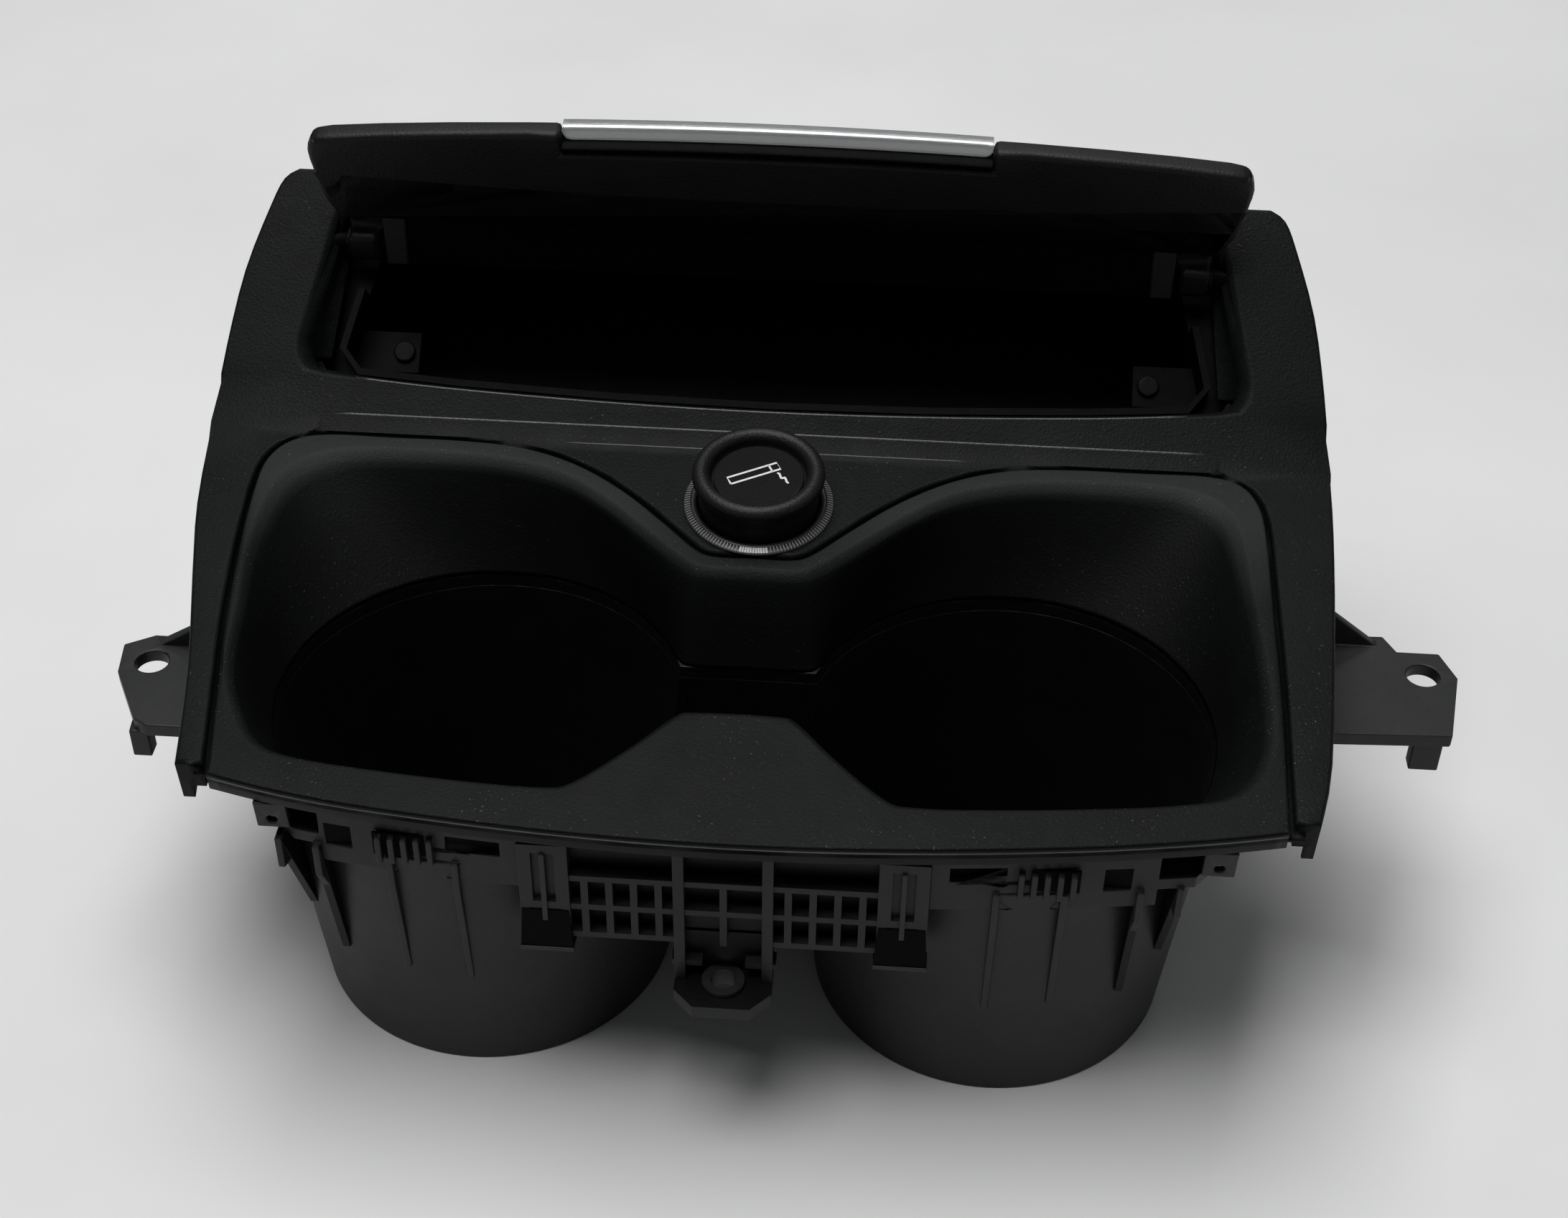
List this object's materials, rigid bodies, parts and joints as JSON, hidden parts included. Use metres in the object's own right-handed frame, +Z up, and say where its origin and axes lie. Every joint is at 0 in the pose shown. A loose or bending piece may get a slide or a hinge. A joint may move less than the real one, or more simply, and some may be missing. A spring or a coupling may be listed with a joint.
{
  "type": "cup holder",
  "caption": "Car console cup holder: round cup wells in one liner, sloped trim, lidded storage bin behind and a push-in lighter between them.",
  "frame": {"origin": "middle of the bounding box in plan, on the bench that the wells and rear legs stand on", "axes": "+X to the right across the two wells, +Y to the rear towards the bin, +Z up"},
  "size_m": [0.2418, 0.1586, 0.13],
  "materials": {
    "trim": "fine grain",
    "liner": "fine grain",
    "carrier": "moulded",
    "mat": "matte",
    "bin": "moulded",
    "lid": "fine grain",
    "bright": "satin silver",
    "steel": "satin",
    "brass": "satin",
    "ring": "satin",
    "knob": "satin",
    "disc": "printed"
  },
  "bodies": {
    "base": {"trim_panel": "trim", "cup_liner": "liner", "deck": "carrier", "mat_left": "mat", "mat_right": "mat", "front_bracket": "carrier", "tab_left": "carrier", "tab_right": "carrier", "clip_left": "liner", "clip_right": "liner", "storage_bin": "bin", "bin_screw_left": "steel", "bin_screw_right": "steel", "trim_screw_left": "steel", "trim_screw_right": "steel", "light_ring": "ring", "lighter_socket": "steel", "socket_contact": "brass", "socket_terminal": "brass", "leg_left": "carrier", "leg_right": "carrier", "well_left": "carrier", "well_right": "carrier", "well_neck": "carrier"},
    "lid": {"lid_shell": "lid", "lid_pan": "bin", "lid_handle": "bright", "pin_left": "lid", "pin_right": "lid"},
    "plug": {"lighter_sleeve": "steel", "lighter_heater": "brass"},
    "knob": {"lighter_knob": "knob", "knob_disc": "disc"}
  },
  "joints": [
    {"name": "lid_hinge", "type": "hinge", "parent": "base", "child": "lid", "pos_m": [-0.0069, 0.04759, 0.10097], "axis": [1, 0, 0], "range_deg": [0, 122.8]},
    {"name": "plug_pull", "type": "slide", "parent": "base", "child": "plug", "axis": [0, -0.1219, 0.9925], "range_m": [0, 0.045]},
    {"name": "knob_push", "type": "slide", "parent": "plug", "child": "knob", "axis": [0, -0.1219, 0.9925], "range_m": [-0.004, 0], "stiffness_N_per_m": 400, "springref_m": 0.001}
  ]
}
